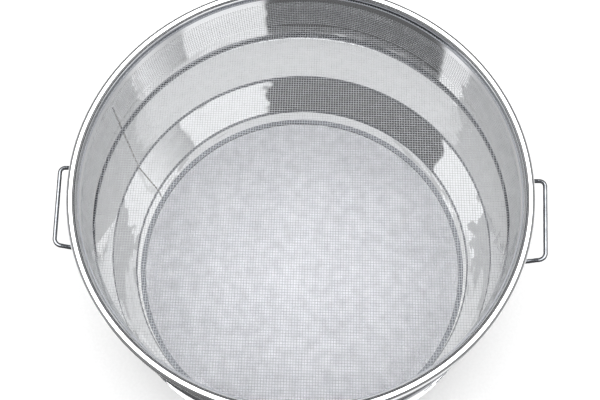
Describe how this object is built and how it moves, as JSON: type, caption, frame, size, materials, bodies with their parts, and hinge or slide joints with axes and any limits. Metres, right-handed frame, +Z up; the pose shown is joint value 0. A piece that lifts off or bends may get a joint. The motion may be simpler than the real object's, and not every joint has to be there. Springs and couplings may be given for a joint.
{
  "type": "double sieve strainer",
  "caption": "Round double sieve for honey: a shallow coarse mesh basket hangs in a deep fine sieve with a stepped drum, flat mesh bottom and wire loop handles.",
  "frame": {"origin": "centre of the face that the collar stands on", "axes": "+Z up out of the mouth, the handles lie near the X axis and both sit a little towards -Y"},
  "size_m": [0.3694, 0.3328, 0.196],
  "materials": {
    "rim_steel": "polished stainless steel",
    "sheet_steel": "bright annealed stainless sheet",
    "coarse_mesh": "woven stainless wire",
    "fine_mesh": "fine woven stainless wire",
    "wire_steel": "drawn stainless wire",
    "weld_steel": "weld metal"
  },
  "bodies": {
    "fine_sieve": {"drum_wall": "sheet_steel", "drum_rim_wire": "wire_steel", "drum_weld_seam": "weld_steel", "shoulder_cone": "sheet_steel", "shoulder_weld_seam": "weld_steel", "mesh_collar": "sheet_steel", "mesh_clamp_ring": "sheet_steel", "fine_mesh_bottom": "fine_mesh", "handle_left": "wire_steel", "handle_right": "wire_steel", "handle_left_welds": "weld_steel", "handle_right_welds": "weld_steel"},
    "coarse_sieve": {"coarse_rim_band": "rim_steel", "coarse_rim_wire": "wire_steel", "coarse_mesh_wall": "coarse_mesh", "coarse_mesh_bottom": "coarse_mesh", "coarse_mesh_clamp_band": "sheet_steel"}
  },
  "joints": [
    {"name": "coarse_sieve_lift", "type": "slide", "parent": "fine_sieve", "child": "coarse_sieve", "axis": [0, 0, 1], "range_m": [0, 0.08]}
  ]
}
